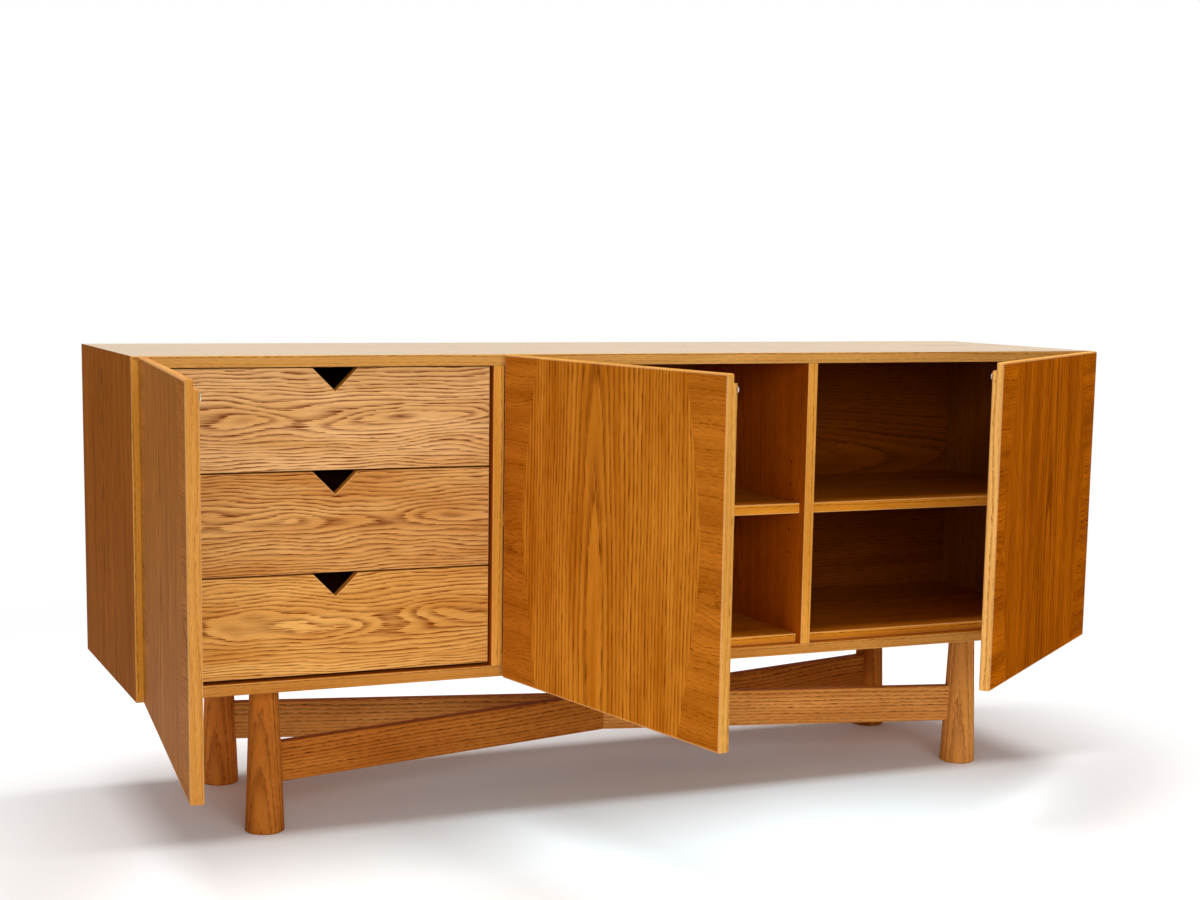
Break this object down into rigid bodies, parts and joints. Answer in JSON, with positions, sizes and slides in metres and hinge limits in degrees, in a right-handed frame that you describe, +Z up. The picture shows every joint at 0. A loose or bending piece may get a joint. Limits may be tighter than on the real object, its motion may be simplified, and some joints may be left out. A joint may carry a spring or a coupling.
{
  "type": "storage cabinet",
  "caption": "low oak storage cabinet with overlay doors, notched drawers behind the left door, shelved bays, and turned legs braced by crossed rails",
  "frame": {"origin": "on the floor, under the middle of the outline that the cabinet has with its doors open as in the picture", "axes": "+X runs along the cabinet to its right end seen from the front, +Y runs from the front to the back, +Z is up"},
  "size_m": [1.8761, 1.0893, 0.8],
  "materials": {
    "carcase_oak": "satin oiled oak veneer, honey amber",
    "door_oak": "satin oak veneer, honey amber, cross-banded",
    "drawer_front_oak": "satin oak veneer with bold horizontal figure",
    "shelf_oak": "satin oak veneer",
    "back_oak": "satin oak veneer",
    "drawer_box_oak": "satin oak",
    "base_oak": "satin solid oak",
    "hinge_steel": "nickel plated",
    "runner_zinc": "zinc plated",
    "clear_plastic": "soft, clear"
  },
  "bodies": {
    "cabinet_body": {"back_panel": "back_oak", "base_board_middle": "shelf_oak", "base_board_right": "shelf_oak", "bottom_panel": "carcase_oak", "divider_left": "shelf_oak", "divider_right": "shelf_oak", "drawer_liner": "shelf_oak", "hinge_arm_left_lower": "hinge_steel", "hinge_arm_left_upper": "hinge_steel", "hinge_arm_middle_lower": "hinge_steel", "hinge_arm_middle_upper": "hinge_steel", "hinge_arm_right_lower": "hinge_steel", "hinge_arm_right_upper": "hinge_steel", "leg_back_left": "base_oak", "leg_back_right": "base_oak", "leg_front_left": "base_oak", "leg_front_right": "base_oak", "rail_front_left": "base_oak", "rail_front_right": "base_oak", "runner_1_left": "runner_zinc", "runner_1_right": "runner_zinc", "runner_2_left": "runner_zinc", "runner_2_right": "runner_zinc", "runner_3_left": "runner_zinc", "runner_3_right": "runner_zinc", "shelf_middle": "shelf_oak", "shelf_pin_middle_back_left": "hinge_steel", "shelf_pin_middle_back_right": "hinge_steel", "shelf_pin_middle_front_left": "hinge_steel", "shelf_pin_middle_front_right": "hinge_steel", "shelf_pin_right_back_left": "hinge_steel", "shelf_pin_right_back_right": "hinge_steel", "shelf_pin_right_front_left": "hinge_steel", "shelf_pin_right_front_right": "hinge_steel", "shelf_right": "shelf_oak", "side_panel_left": "carcase_oak", "side_panel_right": "carcase_oak", "top_panel": "carcase_oak"},
    "left_door": {"bumper_left": "clear_plastic", "door_left": "door_oak", "hinge_cup_left_lower": "hinge_steel", "hinge_cup_left_upper": "hinge_steel"},
    "middle_door": {"bumper_middle": "clear_plastic", "door_middle": "door_oak", "hinge_cup_middle_lower": "hinge_steel", "hinge_cup_middle_upper": "hinge_steel"},
    "right_door": {"bumper_right": "clear_plastic", "door_right": "door_oak", "hinge_cup_right_lower": "hinge_steel", "hinge_cup_right_upper": "hinge_steel"},
    "top_drawer": {"drawer_1_base": "drawer_box_oak", "drawer_1_box": "drawer_box_oak", "drawer_1_front": "drawer_front_oak"},
    "middle_drawer": {"drawer_2_base": "drawer_box_oak", "drawer_2_box": "drawer_box_oak", "drawer_2_front": "drawer_front_oak"},
    "bottom_drawer": {"drawer_3_base": "drawer_box_oak", "drawer_3_box": "drawer_box_oak", "drawer_3_front": "drawer_front_oak"}
  },
  "joints": [
    {"name": "left_door_hinge", "type": "hinge", "parent": "cabinet_body", "child": "left_door", "pos_m": [-0.88231, 0.05407, 0.525], "axis": [0, 0, -1], "range_deg": [-95.3, 14.7]},
    {"name": "middle_door_hinge", "type": "hinge", "parent": "cabinet_body", "child": "middle_door", "pos_m": [-0.27131, 0.05407, 0.525], "axis": [0, 0, -1], "range_deg": [-80, 10]},
    {"name": "right_door_hinge", "type": "hinge", "parent": "cabinet_body", "child": "right_door", "pos_m": [0.92869, 0.05407, 0.525], "axis": [0, 0, 1], "range_deg": [-37.9, 72.1]},
    {"name": "top_drawer_slide", "type": "slide", "parent": "cabinet_body", "child": "top_drawer", "axis": [0, -1, 0], "range_m": [0, 0.32]},
    {"name": "middle_drawer_slide", "type": "slide", "parent": "cabinet_body", "child": "middle_drawer", "axis": [0, -1, 0], "range_m": [0, 0.32]},
    {"name": "bottom_drawer_slide", "type": "slide", "parent": "cabinet_body", "child": "bottom_drawer", "axis": [0, -1, 0], "range_m": [0, 0.32]}
  ]
}
